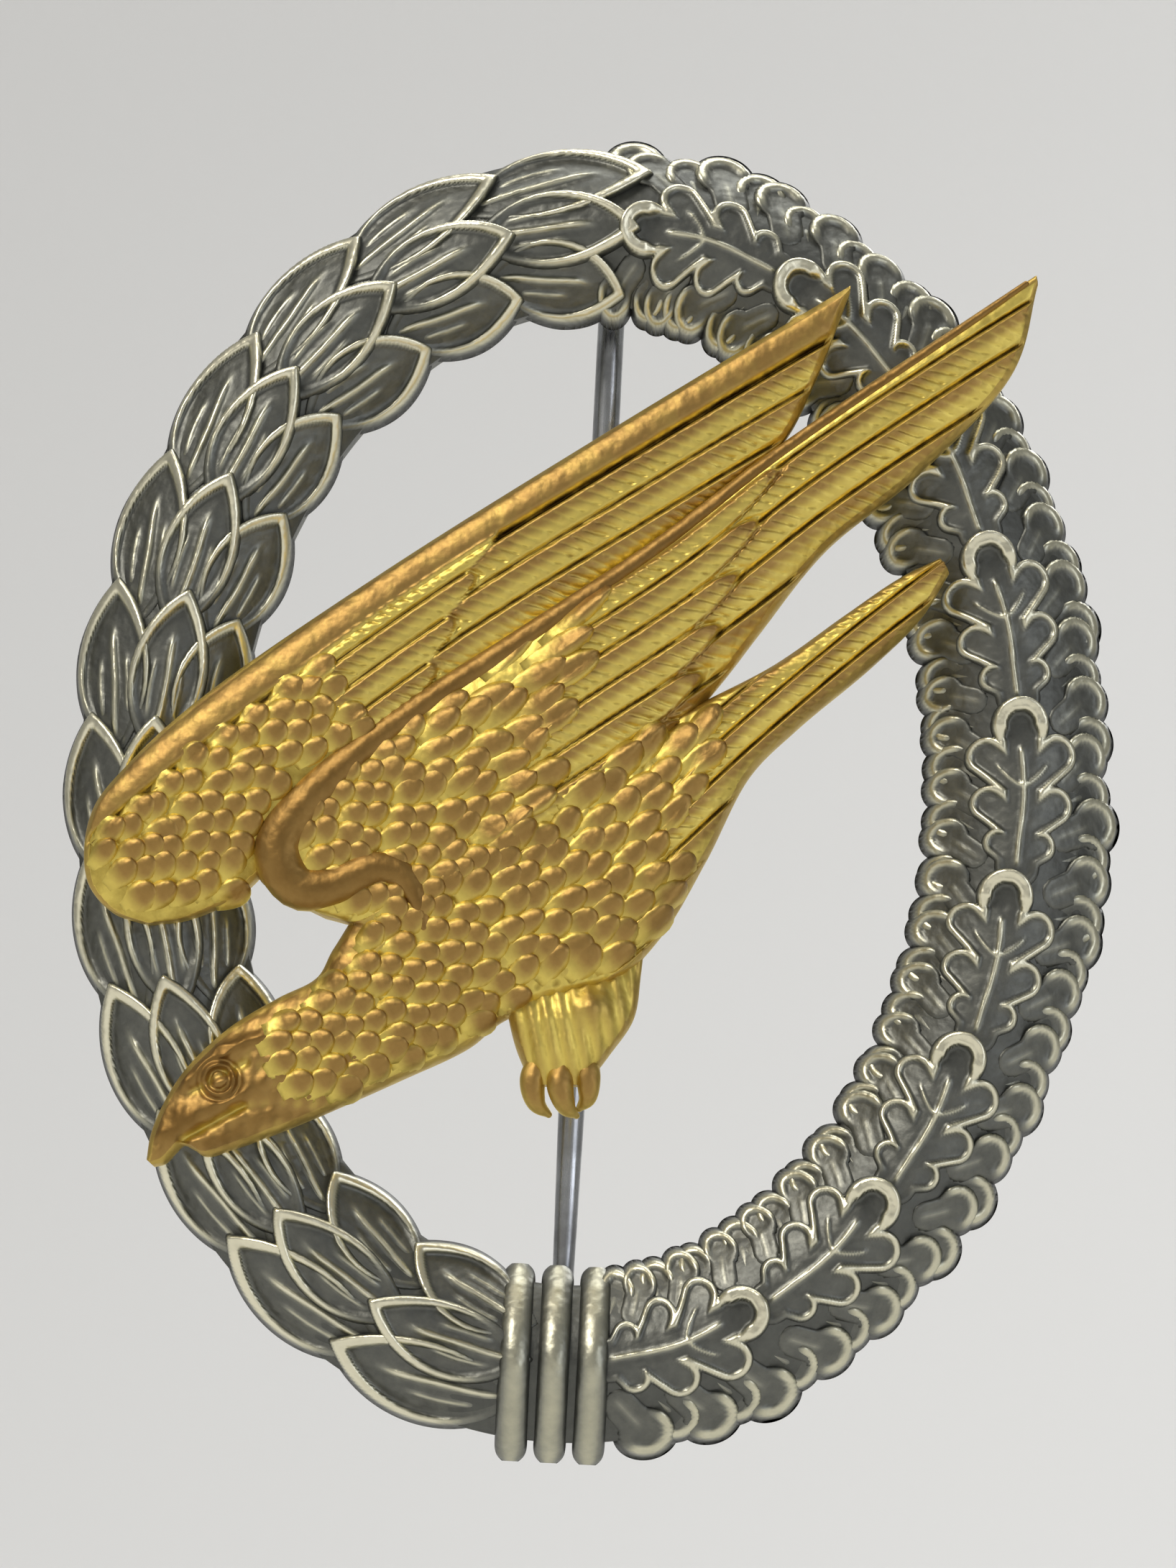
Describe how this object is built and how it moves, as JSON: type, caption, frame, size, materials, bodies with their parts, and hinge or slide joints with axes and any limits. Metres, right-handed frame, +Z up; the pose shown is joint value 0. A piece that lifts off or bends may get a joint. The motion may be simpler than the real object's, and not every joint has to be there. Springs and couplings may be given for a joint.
{
  "type": "wreath badge pin",
  "caption": "Oval laurel and oak wreath badge with a riveted diving bird and a hinged needle and hook on the back.",
  "frame": {"origin": "centre of the oval, on the flat back of the wreath, where the badge lies against the cloth", "axes": "+Z up as worn, -Y out of the front towards the person looking at the badge, +X to that person's right"},
  "size_m": [0.0422, 0.0093, 0.0539],
  "materials": {
    "silvered_brass": "struck, silvered and darkened with oxide in the hollows, rims rubbed bright",
    "gilt_brass": "struck and gilt, raised feathers worn to a coppery brown",
    "rivet_metal": "hammered over, dull",
    "fitting_brass": "drawn and soldered, lightly tarnished",
    "needle_steel": "drawn wire, ground to a point, satin"
  },
  "bodies": {
    "badge": {"wreath": "silvered_brass", "diving_bird": "gilt_brass", "rivet_left": "rivet_metal", "rivet_right": "rivet_metal", "hinge_plate": "fitting_brass", "hinge_bracket": "fitting_brass", "hinge_axle": "needle_steel", "catch_plate": "fitting_brass", "catch_hook": "fitting_brass"},
    "needle": {"needle_barrel": "fitting_brass", "needle_stem": "needle_steel"}
  },
  "joints": [
    {"name": "needle_hinge", "type": "hinge", "parent": "badge", "child": "needle", "pos_m": [0, 0.0021, 0.02315], "axis": [1, 0, 0], "range_deg": [0, 100], "deforming": ["needle_stem"]}
  ]
}
